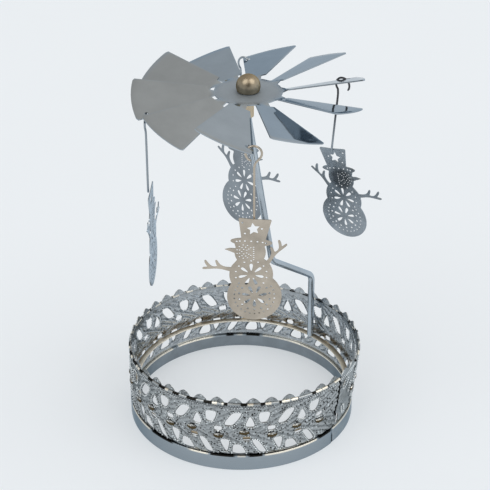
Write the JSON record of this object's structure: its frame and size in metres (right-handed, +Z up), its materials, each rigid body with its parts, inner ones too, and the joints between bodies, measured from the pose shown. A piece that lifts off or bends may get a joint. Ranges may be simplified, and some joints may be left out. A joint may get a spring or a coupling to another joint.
{
  "type": "jar candle spinner",
  "caption": "Pierced metal collar for a jar candle with a bent wire post that carries a warm-air fan; snowman charms hang from the fan's blades and turn with it.",
  "frame": {"origin": "on the collar's axis, in the plane of its foot", "axes": "+Z up along the collar's axis, -Y towards the picture's camera, +X to its right"},
  "size_m": [0.1125, 0.1048, 0.1643],
  "materials": {
    "base_rim": "bright nickel plate",
    "filigree_band": "bright nickel plate on embossed, pierced sheet",
    "jar_ledge": "bright nickel plate",
    "support_post": "bright nickel plated wire",
    "fan_wheel": "mirror bright plated sheet",
    "hub_ball": "polished, warm champagne plate",
    "hub_sleeve": "polished, warm champagne plate",
    "hook_wire": "bright plated wire",
    "charm_sheet": "bright plate on pierced and embossed sheet"
  },
  "bodies": {
    "collar": {"base_rim": "base_rim", "filigree_band": "filigree_band", "jar_ledge": "jar_ledge", "support_post": "support_post"},
    "rotor": {"fan_wheel": "fan_wheel", "hub_ball": "hub_ball", "hub_sleeve": "hub_sleeve"},
    "hanger_right": {"hook_right": "hook_wire", "snowman_right": "charm_sheet"},
    "hanger_back": {"hook_back": "hook_wire", "snowman_back": "charm_sheet"},
    "hanger_left": {"hook_left": "hook_wire", "snowman_left": "charm_sheet"},
    "hanger_front": {"hook_front": "hook_wire", "snowman_front": "charm_sheet"}
  },
  "joints": [
    {"name": "rotor_spin", "type": "hinge", "parent": "collar", "child": "rotor", "pos_m": [0.0033, 0, 0.156], "axis": [0, 0, 1], "continuous": true},
    {"name": "swing_right", "type": "hinge", "parent": "rotor", "child": "hanger_right", "pos_m": [0.04341, 0.01452, 0.15362], "axis": [0.5397, 0.8418, 0], "range_deg": [-12, 12]},
    {"name": "swing_back", "type": "hinge", "parent": "rotor", "child": "hanger_back", "pos_m": [0.00179, 0.04482, 0.15009], "axis": [0.5752, 0.818, 0], "range_deg": [-12, 12]},
    {"name": "swing_left", "type": "hinge", "parent": "rotor", "child": "hanger_left", "pos_m": [-0.03839, -0.01512, 0.14919], "axis": [-0.9958, 0.0912, 0], "range_deg": [-12, 12]},
    {"name": "swing_front", "type": "hinge", "parent": "rotor", "child": "hanger_front", "pos_m": [0.00525, -0.04366, 0.14977], "axis": [-0.0006, -1, 0], "range_deg": [-12, 12]}
  ]
}
